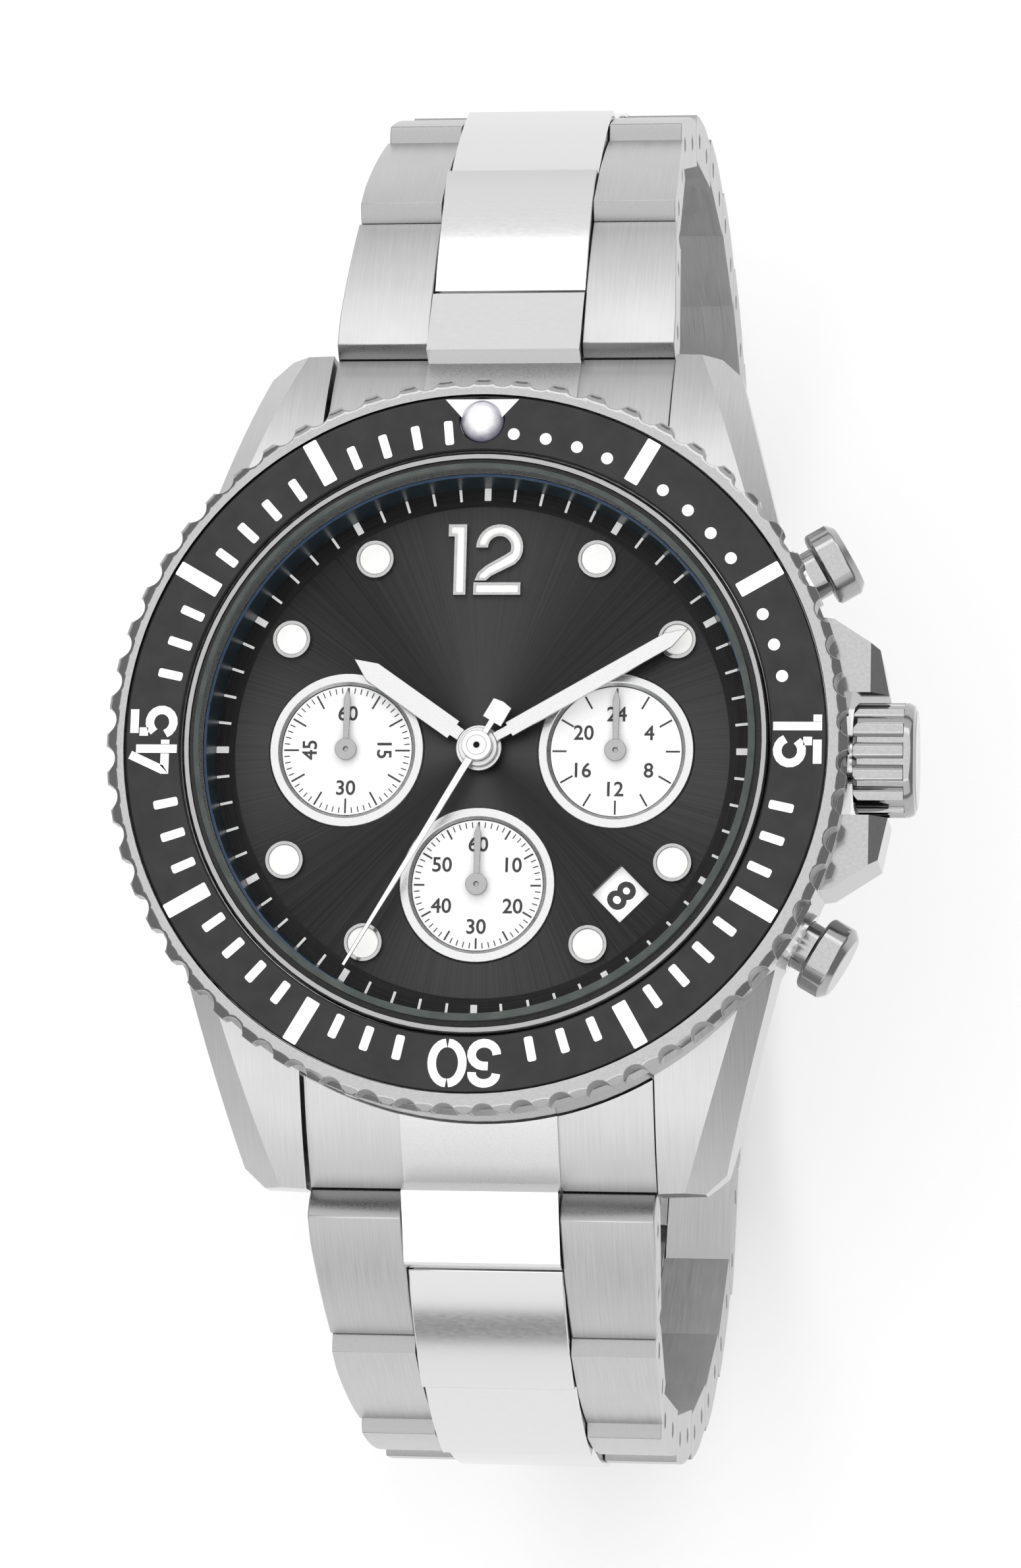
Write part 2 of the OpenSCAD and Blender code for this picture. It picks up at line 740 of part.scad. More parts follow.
module clasp_outer_blade() {
    half = blade_w / 2;
    color(steel) at_clasp() {
        difference() {
            translate([-half, fold_y, outer_blade_z]) cube([2 * half, hook_y - fold_y, blade_t]);
            across(hinge_r + 0.15, 7, fold_y, fold_z);
            across(0.5, 30, fold_y, fold_z);
            across(0.5, 30, hook_y, fold_z);
            translate([-3, fold_y + 6, -5]) cube([6, clasp_l - 26, 10]);
        }
        barrel(fold_y, fold_z, 3.6, half);
        barrel(hook_y, fold_z, 2, half);
    }
}

module clasp_inner_blade() {
    half = blade_w / 2;
    inner = centre_w / 2 + row_gap;
    color(steel) at_clasp() {
        difference() {
            union() {
                translate([-half, fold_y + 1.4, inner_blade_z])
                    cube([2 * half, clasp_l - fold_y - 1.4, blade_t]);
                translate([-3.4, fold_y, inner_blade_z]) cube([6.8, 2, blade_t]);
                for (n = [0, 1]) mirror([n, 0, 0]) side(inner, half)
                    translate([clasp_l, 0]) mirror([1, 0]) {
                        nose(0, -1);
                        strip(0, 3.4);
                    }
            }
            across(hinge_r + 0.2, 30, hook_y, fold_z);
            across(0.5, 6.9, fold_y, fold_z);
            translate([-3, fold_y + 6, -5]) cube([6, clasp_l - 26, 10]);
            translate([-inner, clasp_l - knuckle_r - knuckle_gap, -5]) cube([2 * inner, 10, 10]);
            across(pin_r + 0.1, 30, clasp_l, 0);
            translate([-15, clasp_l, -5]) cube([30, 5, 5 + pin_r + 0.1]);
            translate([-15, clasp_l - pin_r - 0.1, -5]) cube([30, 5, 5]);
        }
        difference() {
            across(hinge_r, 6.8, fold_y, fold_z);
            across(0.5, 30, fold_y, fold_z);
        }
        across(0.46, blade_w - 0.4, fold_y, fold_z);
    }
}

module clasp_bar() { color(steel) at_clasp() across(pin_r, clasp_w - 0.6); }
module clasp_end_bar() { color(steel) at_clasp() across(pin_r, blade_w - 0.6, clasp_l); }

mid_case();
case_back();
case_back_gasket();
crystal();
crystal_gasket();
inner_flange();
dial();
hour_markers();
numeral_12();
subdial_rings();
main_plate();
movement_holder();
battery();
circuit_board();
motor_coils();
movement_cover();
crown_tube();
pusher_tubes();
click_spring();
spring_bars();
end_link_12();
end_link_6();
bezel_ring();
bezel_insert();
bezel_pearl();
crown();
crown_gasket();
setting_stem();
upper_pusher();
lower_pusher();
hour_hand();
minute_hand();
chrono_seconds_hand();
small_seconds_hand();
chrono_minutes_hand();
day_hand();
date_ring();
motion_wheel();
for (n = [1:8]) chain_link(n, headings_12);
for (n = [1:8]) six_side() chain_link(n, headings_6);
clasp_cover();
clasp_outer_blade();
clasp_inner_blade();
clasp_bar();
clasp_end_bar();
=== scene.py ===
# Steel dive chronograph: the finishes of its metal, its printed dial and bezel, light and camera.
# Lengths are in metres in the frame of the model: +Z through the crystal, +Y to 12 o'clock.
import json
from math import cos, pi, radians, sin
import bpy
from mathutils import Euler, Matrix, Vector


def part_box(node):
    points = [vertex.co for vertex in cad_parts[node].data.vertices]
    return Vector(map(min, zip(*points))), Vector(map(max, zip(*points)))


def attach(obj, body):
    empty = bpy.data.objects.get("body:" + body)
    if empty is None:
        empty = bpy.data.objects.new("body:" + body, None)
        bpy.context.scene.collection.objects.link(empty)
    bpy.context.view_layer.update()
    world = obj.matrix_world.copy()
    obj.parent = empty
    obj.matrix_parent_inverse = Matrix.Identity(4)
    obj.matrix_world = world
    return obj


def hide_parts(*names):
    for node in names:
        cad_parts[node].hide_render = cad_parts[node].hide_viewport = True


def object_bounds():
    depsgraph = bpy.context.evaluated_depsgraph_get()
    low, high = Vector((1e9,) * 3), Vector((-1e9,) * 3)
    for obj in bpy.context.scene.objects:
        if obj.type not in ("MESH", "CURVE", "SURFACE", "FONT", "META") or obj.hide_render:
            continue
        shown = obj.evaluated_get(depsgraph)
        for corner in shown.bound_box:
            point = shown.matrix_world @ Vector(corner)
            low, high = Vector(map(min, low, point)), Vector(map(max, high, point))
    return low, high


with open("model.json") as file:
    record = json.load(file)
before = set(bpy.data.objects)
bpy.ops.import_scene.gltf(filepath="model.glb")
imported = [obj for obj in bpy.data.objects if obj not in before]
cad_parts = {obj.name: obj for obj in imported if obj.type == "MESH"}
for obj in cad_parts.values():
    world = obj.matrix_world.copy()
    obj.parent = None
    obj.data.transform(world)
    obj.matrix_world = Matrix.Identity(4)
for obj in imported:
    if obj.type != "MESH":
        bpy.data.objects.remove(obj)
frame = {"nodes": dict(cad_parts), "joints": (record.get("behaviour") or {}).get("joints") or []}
cad_low, cad_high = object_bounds()

MM = 0.001
NODES = frame["nodes"]
DIAL_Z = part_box("dial")[1].z                     # top face of the dial
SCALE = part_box("bezel_ring")[1].y / (21 * MM)    # dial and bezel sizes follow the bezel
INSERT_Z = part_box("bezel_insert")[1].z           # top face of the bezel's insert
FIRST_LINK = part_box("link_12_1")[0].y / MM       # where the bracelet's first link starts, in mm

# Sizes in millimetres. Those of the dial and the bezel grow with SCALE.
MIDDLE_ROW = 4.53                                # half the width of the links' middle row
LUG_X, LUG_Y = 9, 12 * SCALE                     # the lugs lie beyond these
CRYSTAL_WALL = 16.6 * SCALE                      # radius of the wall round the crystal
NOTCHES = 19.9, 20.9                             # radii of the bezel's notches at a scale of 1
PEARL_AT = 18.4 * SCALE
TRACK_AT = 14.87 * SCALE                         # radius of the minute track's ticks
TRACK_LONG = 0.72 * SCALE
SUNRAY_END, GROOVES_START = 14.12 * SCALE, 14.16 * SCALE
SUBDIAL_FLOOR = 0.12                             # depth of a subdial's face under the dial's
SUBDIAL_PRINT = 0.04                             # depth of the middle of its print
SUBDIAL_AT = 7.7 * SCALE
SUBDIALS = {"day": (SUBDIAL_AT, 0), "seconds": (0, -SUBDIAL_AT), "minutes": (-SUBDIAL_AT, 0)}


# Tools of the workbench

def only(obj):
    """Selects one object alone and makes it active."""
    bpy.ops.object.select_all(action="DESELECT")
    obj.select_set(True)
    bpy.context.view_layer.objects.active = obj
    return obj


def edit_all(obj):
    only(obj)
    bpy.ops.object.mode_set(mode="EDIT")
    bpy.ops.mesh.select_all(action="SELECT")


def done_editing():
    bpy.ops.object.mode_set(mode="OBJECT")


def settle(obj):
    """Puts the object's place, turn and scale into its mesh."""
    only(obj)
    bpy.ops.object.transform_apply(location=True, rotation=True, scale=True)
    return obj


def modify(obj, kind, **settings):
    """Adds a modifier and applies it."""
    only(obj)
    mod = obj.modifiers.new(kind.title(), kind)
    for key, value in settings.items():
        setattr(mod, key, value)
    bpy.ops.object.modifier_apply(modifier=mod.name)
    return obj


def smooth(obj, angle=30):
    only(obj)
    bpy.ops.object.shade_smooth_by_angle(angle=radians(angle))
    return obj


def soften(obj, width, segments=2, angle=30):
    """Rounds the sharp edges; the shading follows the broad faces between them."""
    modify(obj, "BEVEL", width=width, segments=segments, limit_method="ANGLE",
           angle_limit=radians(angle))
    smooth(obj, 50)
    modify(obj, "WEIGHTED_NORMAL", keep_sharp=True)
    return obj


def moved(obj, matrix):
    obj.data.transform(matrix)
    obj.data.update()
    return obj


def twin(obj):
    """A copy with its own mesh."""
    copy = obj.copy()
    copy.data = obj.data.copy()
    bpy.context.scene.collection.objects.link(copy)
    return copy


def joined(objects, name):
    bpy.ops.object.select_all(action="DESELECT")
    for obj in objects:
        obj.select_set(True)
    bpy.context.view_layer.objects.active = objects[0]
    if len(objects) > 1:
        bpy.ops.object.join()
    objects[0].name = name
    objects[0].data.name = name
    return objects[0]


def clockwise(degrees):
    """Turn about the dial's centre, clockwise from 12."""
    return Matrix.Rotation(-radians(degrees), 4, "Z")


def place(x, y, z):
    return Matrix.Translation((x * MM, y * MM, z))


def fit_out(obj, body, slot, *finishes):
    """Gives a piece its finishes and the body that it moves with; its slot is not used."""
    obj.data.materials.clear()
    for finish in finishes:
        obj.data.materials.append(finish)
    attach(obj, body)
    return obj


def dressed(node, piece, body, slot, finishes, edge=0.0, crease=30, choose=None):
    """A merged copy of a CAD node with softened edges, shown in its place.

    choose(centre, normal) gives the number of a face's finish; the centre is in millimetres."""
    obj = bpy.data.objects.new(piece, NODES[node].data.copy())
    bpy.context.scene.collection.objects.link(obj)
    edit_all(obj)
    bpy.ops.mesh.remove_doubles(threshold=2e-6)
    bpy.ops.mesh.dissolve_limited(angle_limit=radians(0.4))
    done_editing()
    bpy.ops.mesh.customdata_custom_splitnormals_clear()
    smooth(obj, crease)
    if edge:
        soften(obj, edge * MM)
    fit_out(obj, body, slot, *finishes)
    for face in obj.data.polygons:
        face.material_index = choose(face.center / MM, face.normal) if choose else 0
    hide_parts(node)
    return obj


# Finishes

def grey(level):
    return level, level, level


def finish(name, colour, metallic=0.0, roughness=0.5, **sockets):
    """A new material; returns it with its tree and its shader."""
    mat = bpy.data.materials.new(name)
    mat.use_nodes = True
    tree = mat.node_tree
    shader = tree.nodes["Principled BSDF"]
    shader.inputs["Base Color"].default_value = (*colour, 1)
    shader.inputs["Metallic"].default_value = metallic
    shader.inputs["Roughness"].default_value = roughness
    for key, value in sockets.items():
        shader.inputs[key.replace("_", " ")].default_value = value
    return mat, tree, shader


def add(tree, kind, **settings):
    node = tree.nodes.new("ShaderNode" + kind)
    for key, value in settings.items():
        setattr(node, key, value)
    return node


def grain(tree, scale, stretch=(1, 1, 1), detail=3, source=None):
    """Noise over the piece, drawn out by stretch; returns its output."""
    if source is None:
        source = add(tree, "TexCoord").outputs["Object"]
    mapping = add(tree, "Mapping")
    mapping.inputs["Scale"].default_value = stretch
    noise = add(tree, "TexNoise")
    noise.inputs["Scale"].default_value = scale
    noise.inputs["Detail"].default_value = detail
    tree.links.new(source, mapping.inputs["Vector"])
    tree.links.new(mapping.outputs["Vector"], noise.inputs["Vector"])
    return noise.outputs["Fac"]


def span(tree, value, low, high, start=0.3, stop=0.7):
    """Maps a value between start and stop to low and high."""
    ramp = add(tree, "MapRange")
    for key, number in zip(("From Min", "From Max", "To Min", "To Max"), (start, stop, low, high)):
        ramp.inputs[key].default_value = number
    tree.links.new(value, ramp.inputs["Value"])
    return ramp.outputs["Result"]


def tint(tree, shader, value, dark, light, start=0.3, stop=0.7):
    """Colours the shader between dark and light by a value."""
    ramp = add(tree, "ValToRGB")
    ramp.color_ramp.elements[0].position = start
    ramp.color_ramp.elements[1].position = stop
    ramp.color_ramp.elements[0].color = (*dark, 1)
    ramp.color_ramp.elements[1].color = (*light, 1)
    tree.links.new(value, ramp.inputs["Fac"])
    tree.links.new(ramp.outputs["Color"], shader.inputs["Base Color"])


def roughen(tree, shader, value, low, high):
    """Lets the roughness run from low to high with a value."""
    tree.links.new(span(tree, value, low, high), shader.inputs["Roughness"])


def relief(tree, shader, value, strength, depth):
    bump = add(tree, "Bump")
    bump.inputs["Strength"].default_value = strength
    bump.inputs["Distance"].default_value = depth
    tree.links.new(value, bump.inputs["Height"])
    tree.links.new(bump.outputs["Normal"], shader.inputs["Normal"])


def radius(tree, centre=(0, 0)):
    """Distance from an axis along Z, in metres."""
    mapping = add(tree, "Mapping")
    mapping.inputs["Location"].default_value = (-centre[0] * MM, -centre[1] * MM, 0)
    mapping.inputs["Scale"].default_value = (1, 1, 0)
    length = add(tree, "VectorMath", operation="LENGTH")
    tree.links.new(add(tree, "TexCoord").outputs["Object"], mapping.inputs["Vector"])
    tree.links.new(mapping.outputs["Vector"], length.inputs[0])
    return length.outputs["Value"]


def brushed_steel():
    """Satin steel, brushed along the bracelet."""
    mat, tree, shader = finish("brushed_steel", grey(0.52), 1, 0.36)
    lines = grain(tree, 1, (16000, 260, 260), 3)
    broad = grain(tree, 300)
    tint(tree, shader, lines, grey(0.48), grey(0.55))
    roughness = add(tree, "Math", operation="ADD")
    tree.links.new(span(tree, lines, 0.32, 0.4), roughness.inputs[0])
    tree.links.new(span(tree, broad, 0, 0.06), roughness.inputs[1])
    tree.links.new(roughness.outputs["Value"], shader.inputs["Roughness"])
    relief(tree, shader, lines, 0.08, 2e-6)
    return mat


def polished_steel():
    """Mirror steel with faint wiping marks."""
    mat, tree, shader = finish("polished_steel", grey(0.66), 1, 0.07)
    marks = grain(tree, 2500, (1, 3, 1), 5)
    tint(tree, shader, marks, grey(0.65), grey(0.67))
    roughen(tree, shader, marks, 0.13, 0.18)
    return mat


def shaded_steel():
    """Steel darkened as painted shade, with fine marks: bezel ring, crown, pushers, marker cups,
    case flanks.
    """
    mat, tree, shader = finish("shaded_steel", grey(0.37), 1, 0.12)
    marks = grain(tree, 5000, (1, 1, 6), 4)
    tint(tree, shader, marks, grey(0.34), grey(0.39))
    roughen(tree, shader, marks, 0.1, 0.14)
    return mat


def satin_silver(name, dark, light):
    """Fine blasted metal: silver on hands and subdial rings, grey as painted shade in shaded
    places.
    """
    mat, tree, shader = finish(name, light, 1, 0.3)
    dots = grain(tree, 16000, detail=2)
    tint(tree, shader, dots, dark, light)
    roughen(tree, shader, dots, 0.25, 0.4)
    relief(tree, shader, dots, 0.3, 3e-6)
    return mat


def black_insert():
    """Glossy black anodised ring."""
    mat, tree, shader = finish("black_insert", (0.012, 0.012, 0.013), 0, 0.13,
                               Specular_IOR_Level=0.25)
    cloud = grain(tree, 700, detail=5)
    tint(tree, shader, cloud, (0.018, 0.018, 0.019), (0.028, 0.028, 0.029))
    roughen(tree, shader, cloud, 0.1, 0.17)
    return mat


def dark_ramp(tree, value, levels, places):
    """A grey between two levels by a value; returns its output."""
    ramp = add(tree, "ValToRGB")
    for element, level, at in zip(ramp.color_ramp.elements, levels, places):
        element.color = (*grey(level), 1)
        element.position = at
    tree.links.new(value, ramp.inputs["Fac"])
    return ramp.outputs["Color"]


def dial_black():
    """Black sunray brushing inside, with a painted highlight in four bright sectors; fine circular
    grooves under the minute track.
    """
    mat, tree, shader = finish("dial_black", grey(0.03), 1, 0.4)
    out = radius(tree)
    separate = add(tree, "SeparateXYZ")
    tree.links.new(add(tree, "TexCoord").outputs["Object"], separate.inputs["Vector"])
    angle = add(tree, "Math", operation="ARCTAN2")
    tree.links.new(separate.outputs["X"], angle.inputs[0])
    tree.links.new(separate.outputs["Y"], angle.inputs[1])
    ray = add(tree, "CombineXYZ")
    tree.links.new(angle.outputs["Value"], ray.inputs["X"])
    tree.links.new(out, ray.inputs["Y"])
    rays = grain(tree, 1, (160, 40, 1), 3, ray.outputs["Vector"])
    rings = grain(tree, 1, (3, 16000, 1), 2, ray.outputs["Vector"])
    # Painted highlight: the cosine of four times the angle lightens four fixed sectors of the
    # sunray's colour.
    turn = add(tree, "Math", operation="MULTIPLY")
    tree.links.new(angle.outputs["Value"], turn.inputs[0])
    turn.inputs[1].default_value = 4
    highlight_wave = add(tree, "Math", operation="COSINE")
    tree.links.new(turn.outputs["Value"], highlight_wave.inputs[0])
    painted_sheen = add(tree, "Math", operation="MULTIPLY_ADD")
    tree.links.new(rays, painted_sheen.inputs[0])
    painted_sheen.inputs[1].default_value = 0.7
    tree.links.new(span(tree, highlight_wave.outputs["Value"], 0, 0.45, -1, 1), painted_sheen.inputs[2])
    inner = dark_ramp(tree, painted_sheen.outputs["Value"], (0.016, 0.052), (0.2, 0.9))
    outer = dark_ramp(tree, rings, (0.014, 0.024), (0.3, 0.7))
    mix = add(tree, "Mix", data_type="RGBA")
    past_rays = span(tree, out, 0, 1, SUNRAY_END * MM, GROOVES_START * MM)
    tree.links.new(past_rays, mix.inputs["Factor"])
    tree.links.new(inner, mix.inputs["A"])
    tree.links.new(outer, mix.inputs["B"])
    tree.links.new(mix.outputs["Result"], shader.inputs["Base Color"])
    roughen(tree, shader, rays, 0.36, 0.46)
    return mat


def subdial_white():
    """Silvery white with a fine grain."""
    mat, tree, shader = finish("subdial_white", grey(0.94), 0.0, 0.38)
    dots = grain(tree, 12000, detail=2)
    tint(tree, shader, dots, grey(0.92), grey(0.97))
    roughen(tree, shader, dots, 0.32, 0.46)
    return mat


def painted(name, dark, light, roughness=0.45):
    """Printed paint with a little unevenness."""
    mat, tree, shader = finish(name, light, 0, roughness)
    patch = grain(tree, 5000, detail=2)
    tint(tree, shader, patch, dark, light)
    roughen(tree, shader, patch, roughness - 0.06, roughness + 0.06)
    relief(tree, shader, patch, 0.2, 2e-6)
    return mat


def date_paper():
    """Bright white of the date ring; its emission glow is painted light that brightens it in the
    shaded window.
    """
    mat, tree, shader = finish("date_paper", grey(0.96), 0, 0.5, Emission_Strength=0.3)
    shader.inputs["Emission Color"].default_value = (1, 1, 1, 1)
    fibre = grain(tree, 4000)
    tint(tree, shader, fibre, grey(0.94), grey(0.98))
    roughen(tree, shader, fibre, 0.45, 0.55)
    return mat


def lume():
    """Grainy luminous paint; its faint emission is painted light that whitens the markers and
    numeral where their frames shade them.
    """
    mat, tree, shader = finish("lume", (0.93, 0.93, 0.91), 0, 0.55, Emission_Strength=0.12)
    shader.inputs["Emission Color"].default_value = (1, 1, 0.98, 1)
    dots = grain(tree, 9000, detail=4)
    tint(tree, shader, dots, (0.88, 0.88, 0.86), (0.96, 0.96, 0.94))
    relief(tree, shader, dots, 0.4, 8e-6)
    return mat


def pearl_glass():
    """Clear dome over luminous paint: white in the middle, lilac grey round it as painted shade of
    the dome's rim.
    """
    mat, tree, shader = finish("pearl_glass", (0.8, 0.8, 0.84), 0, 0.12, Coat_Weight=1.0,
                               Coat_Roughness=0.03)
    out = radius(tree, (0, PEARL_AT))
    cloud = grain(tree, 2500)
    add_up = add(tree, "Math", operation="MULTIPLY_ADD")
    tree.links.new(cloud, add_up.inputs[0])
    add_up.inputs[1].default_value = 0.25 * MM
    tree.links.new(out, add_up.inputs[2])
    # Painted shade: white in the middle, lilac grey towards the rim of the dome.
    tint(tree, shader, span(tree, add_up.outputs["Value"], 0, 1, 0.75 * MM, 1.4 * MM),
         (0.92, 0.92, 0.93), (0.30, 0.28, 0.36), 0.1, 0.8)
    return mat


def flange_lacquer(name, dark, light, roughness):
    """Lacquer of the wall round the dial and of its upper edge."""
    mat, tree, shader = finish(name, light, 0, roughness)
    cloud = grain(tree, 1200)
    tint(tree, shader, cloud, dark, light)
    roughen(tree, shader, cloud, roughness - 0.03, roughness + 0.03)
    return mat


def crystal_rim():
    """The crystal's ground edge: grey green, a little glossy."""
    mat, tree, shader = finish("crystal_rim", (0.1, 0.11, 0.1), 0, 0.35, Specular_IOR_Level=0.2)
    cloud = grain(tree, 900)
    tint(tree, shader, cloud, (0.075, 0.09, 0.085), (0.11, 0.125, 0.115))
    roughen(tree, shader, cloud, 0.3, 0.42)
    return mat


def crystal_glass():
    """Mineral glass with a coating that keeps reflections faint."""
    mat = bpy.data.materials.new("crystal_glass")
    mat.use_nodes = True
    tree = mat.node_tree
    tree.nodes.remove(tree.nodes["Principled BSDF"])
    gloss = add(tree, "BsdfGlossy")
    gloss.inputs["Color"].default_value = (0.85, 0.95, 1, 1)
    clear = add(tree, "BsdfTransparent")
    fresnel = add(tree, "LayerWeight")
    fresnel.inputs["Blend"].default_value = 0.12
    mix = add(tree, "MixShader")
    tree.links.new(span(tree, fresnel.outputs["Fresnel"], 0, 0.35, 0.02, 1), mix.inputs["Fac"])
    tree.links.new(span(tree, grain(tree, 500), 0.01, 0.03), gloss.inputs["Roughness"])
    tree.links.new(clear.outputs["BSDF"], mix.inputs[1])
    tree.links.new(gloss.outputs["BSDF"], mix.inputs[2])
    tree.links.new(mix.outputs["Shader"], tree.nodes["Material Output"].inputs["Surface"])
    return mat


def rubber():
    """Dull black rubber with fine pores."""
    mat, tree, shader = finish("rubber", grey(0.02), 0, 0.7)
    pores = grain(tree, 6000)
    tint(tree, shader, pores, grey(0.015), grey(0.03))
    relief(tree, shader, pores, 0.4, 5e-6)
    return mat


def movement_metal(name, dark, light, scale=(2500, 2500, 2500)):
    """Turned or rolled metal of the movement."""
    mat, tree, shader = finish(name, light, 1, 0.35)
    marks = grain(tree, 1, scale, 4)
    tint(tree, shader, marks, dark, light)
    roughen(tree, shader, marks, 0.25, 0.42)
    relief(tree, shader, marks, 0.3, 3e-6)
    return mat


BRUSHED = brushed_steel()
POLISHED = polished_steel()
SHADED = shaded_steel()
SILVER = satin_silver("satin_silver", grey(0.54), grey(0.62))
# The grey copy is painted shade on the case wall, notch walls and link ends; it also colours the
# small hands.
GREY = satin_silver("satin_grey", grey(0.30), grey(0.36))
LUME_GLOW = lume()
SUBDIAL_WHITE = subdial_white()
WHITE = painted("white_print", grey(0.88), grey(0.96))
BLACK = painted("black_print", grey(0.012), grey(0.03))


# Case, bezel, crown and pushers

def case_finish(centre, normal):
    """Satin lugs between flanks darkened as painted shade, and a wall round the crystal greyed as
    painted shade.
    """
    if centre.xy.length < CRYSTAL_WALL:
        return 2
    on_lug = abs(centre.y) > LUG_Y and abs(centre.x) > LUG_X
    return 0 if on_lug and normal.z > 0.3 else 1


def end_link_finish(centre, normal):
    """Satin; its middle is brighter, and polished between the first link's outer pieces."""
    if abs(centre.x) > MIDDLE_ROW:
        return 0
    return 1 if abs(centre.y) > FIRST_LINK else 2


def bezel_finish(centre, normal):
    """The walls of the notches are painted darker than the lands between them, as painted shade in
    the notches.
    """
    out = centre.xy.length / SCALE
    return 1 if NOTCHES[0] < out < NOTCHES[1] and abs(normal.z) < 0.4 else 0


def case_group():
    dressed("mid_case", "case_metal", "case", "steel", [BRUSHED, SHADED, GREY], 0.08,
            choose=case_finish)
    for side in ("12", "6"):
        dressed(f"end_link_{side}", f"end_piece_{side}", "case", "steel",
                [BRUSHED, POLISHED, SILVER], 0.08, choose=end_link_finish)
    # Crown, pushers and bezel ring take the darkened steel as painted shade; the notch walls take
    # a grey painted shade.
    dressed("crown", "crown_grip", "crown", "polished_steel", [SHADED], 0.07)
    for which in ("upper", "lower"):
        dressed(f"{which}_pusher", f"{which}_button", f"{which}_pusher", "polished_steel",
                [SHADED], 0.06)
    dressed("bezel_ring", "bezel_grip", "bezel", "polished_steel", [SHADED, GREY], 0.1,
            choose=bezel_finish)
    dressed("bezel_insert", "bezel_disc", "bezel", "black_insert", [black_insert()], 0.04)
    dressed("bezel_pearl", "bezel_dome", "bezel", "lume", [pearl_glass()], crease=50)
    dressed("crystal", "crystal_disc", "case", "glass", [crystal_glass(), crystal_rim()],
            choose=lambda centre, normal: 0 if abs(normal.z) > 0.9 else 1)


# Bezel's marks

def bar(width, length, height, soft):
    """A thin bar on the dial's centre, its length along +Y, with rounded corners."""
    bpy.ops.mesh.primitive_cube_add(size=1)
    obj = bpy.context.object
    obj.scale = (width * MM, length * MM, height * MM)
    settle(obj)
    edit_all(obj)
    bpy.ops.mesh.select_all(action="DESELECT")
    bpy.ops.mesh.select_mode(type="EDGE")
    done_editing()
    for edge in obj.data.edges:
        a, b = (obj.data.vertices[i].co for i in edge.vertices)
        edge.select = abs(a.z - b.z) > 1e-6
    bpy.ops.object.mode_set(mode="EDIT")
    bpy.ops.mesh.bevel(offset=soft * MM, segments=3, affect="EDGES")
    done_editing()
    return obj


def dot(size, height):
    """A low round stud with a bevelled rim."""
    bpy.ops.mesh.primitive_cylinder_add(vertices=24, radius=size / 2 * MM, depth=height * MM)
    obj = bpy.context.object
    edit_all(obj)
    bpy.ops.mesh.select_all(action="DESELECT")
    done_editing()
    for face in obj.data.polygons:
        face.select = face.normal.z > 0.9
    bpy.ops.object.mode_set(mode="EDIT")
    bpy.ops.mesh.inset(thickness=height * 0.5 * MM)
    bpy.ops.transform.translate(value=(0, 0, height * 0.2 * MM))
    done_editing()
    return obj


def printed_at(face, thick):
    """Height of the middle of a printed mark, a tenth of which is sunk in its face."""
    return face + thick * 0.4 * MM


def set_round(master, angles, at, z, centre=(0, 0)):
    """Copies of a mark set round a centre; removes the master."""
    copies = []
    for angle in angles:
        copy = twin(master)
        moved(copy, place(*centre, z) @ clockwise(angle) @ place(0, at, 0))
        copies.append(copy)
    bpy.data.objects.remove(master)
    return copies


def stroke(points, width, height, closed=False):
    """A flat stroke along points given in millimetres."""
    curve = bpy.data.curves.new("stroke", "CURVE")
    curve.dimensions = "3D"
    curve.extrude = height / 2 * MM
    line = curve.splines.new("POLY")
    line.points.add(len(points) - 1)
    for spot, (x, y) in zip(line.points, points):
        spot.co = (x * MM, y * MM, 0, 1)
    line.use_cyclic_u = closed
    obj = bpy.data.objects.new("stroke", curve)
    bpy.context.scene.collection.objects.link(obj)
    only(obj)
    bpy.ops.object.convert(target="MESH")
    obj = bpy.context.object
    modify(obj, "SOLIDIFY", thickness=width * MM, offset=0, use_even_offset=True)
    edit_all(obj)
    bpy.ops.mesh.normals_make_consistent(inside=False)
    done_editing()
    return obj


def arc(x, y, rx, ry, start, stop, steps=14):
    """Points of an arc from start to stop degrees, counter-clockwise from +X."""
    angles = [radians(start + (stop - start) * i / steps) for i in range(steps + 1)]
    return [(x + rx * cos(a), y + ry * sin(a)) for a in angles]


STENCIL = {
    "0": (0.8, [arc(0.385, 0.5, 0.3, 0.41, 91, 269), arc(0.415, 0.5, 0.3, 0.41, -89, 89)]),
    "1": (0.44, [[(0.28, 0), (0.28, 1)], [(0.04, 0.91), (0.185, 0.91)]]),
    "3": (0.68, [arc(0.34, 0.71, 0.25, 0.2, 180, -8),
                 [(0.26, 0.555)] + arc(0.34, 0.32, 0.26, 0.235, 82, -180)]),
    "4": (0.74, [[(0.4, 0.98), (0.09, 0.3), (0.09, 0.25), (0.43, 0.25)], [(0.53, 0), (0.53, 0.86)],
                 [(0.63, 0.25), (0.72, 0.25)]]),
    "5": (0.7, [[(0.1, 0.91), (0.6, 0.91)], [(0.13, 0.8), (0.13, 0.62)],
                arc(0.33, 0.34, 0.26, 0.25, 142, -160)]),
}


def stencil(number, tall, weight, height):
    """A number in stencil strokes, centred on the dial's centre."""
    strokes, left = [], 0.0
    for digit in number:
        width, lines = STENCIL[digit]
        for points in lines:
            spots = [((left + x) * tall, (y - 0.5) * tall) for x, y in points]
            strokes.append(stroke(spots, weight, height))
        left += width + 0.02
    obj = joined(strokes, "stencil_" + number)
    return moved(obj, place(-left * tall / 2, 0, 0))


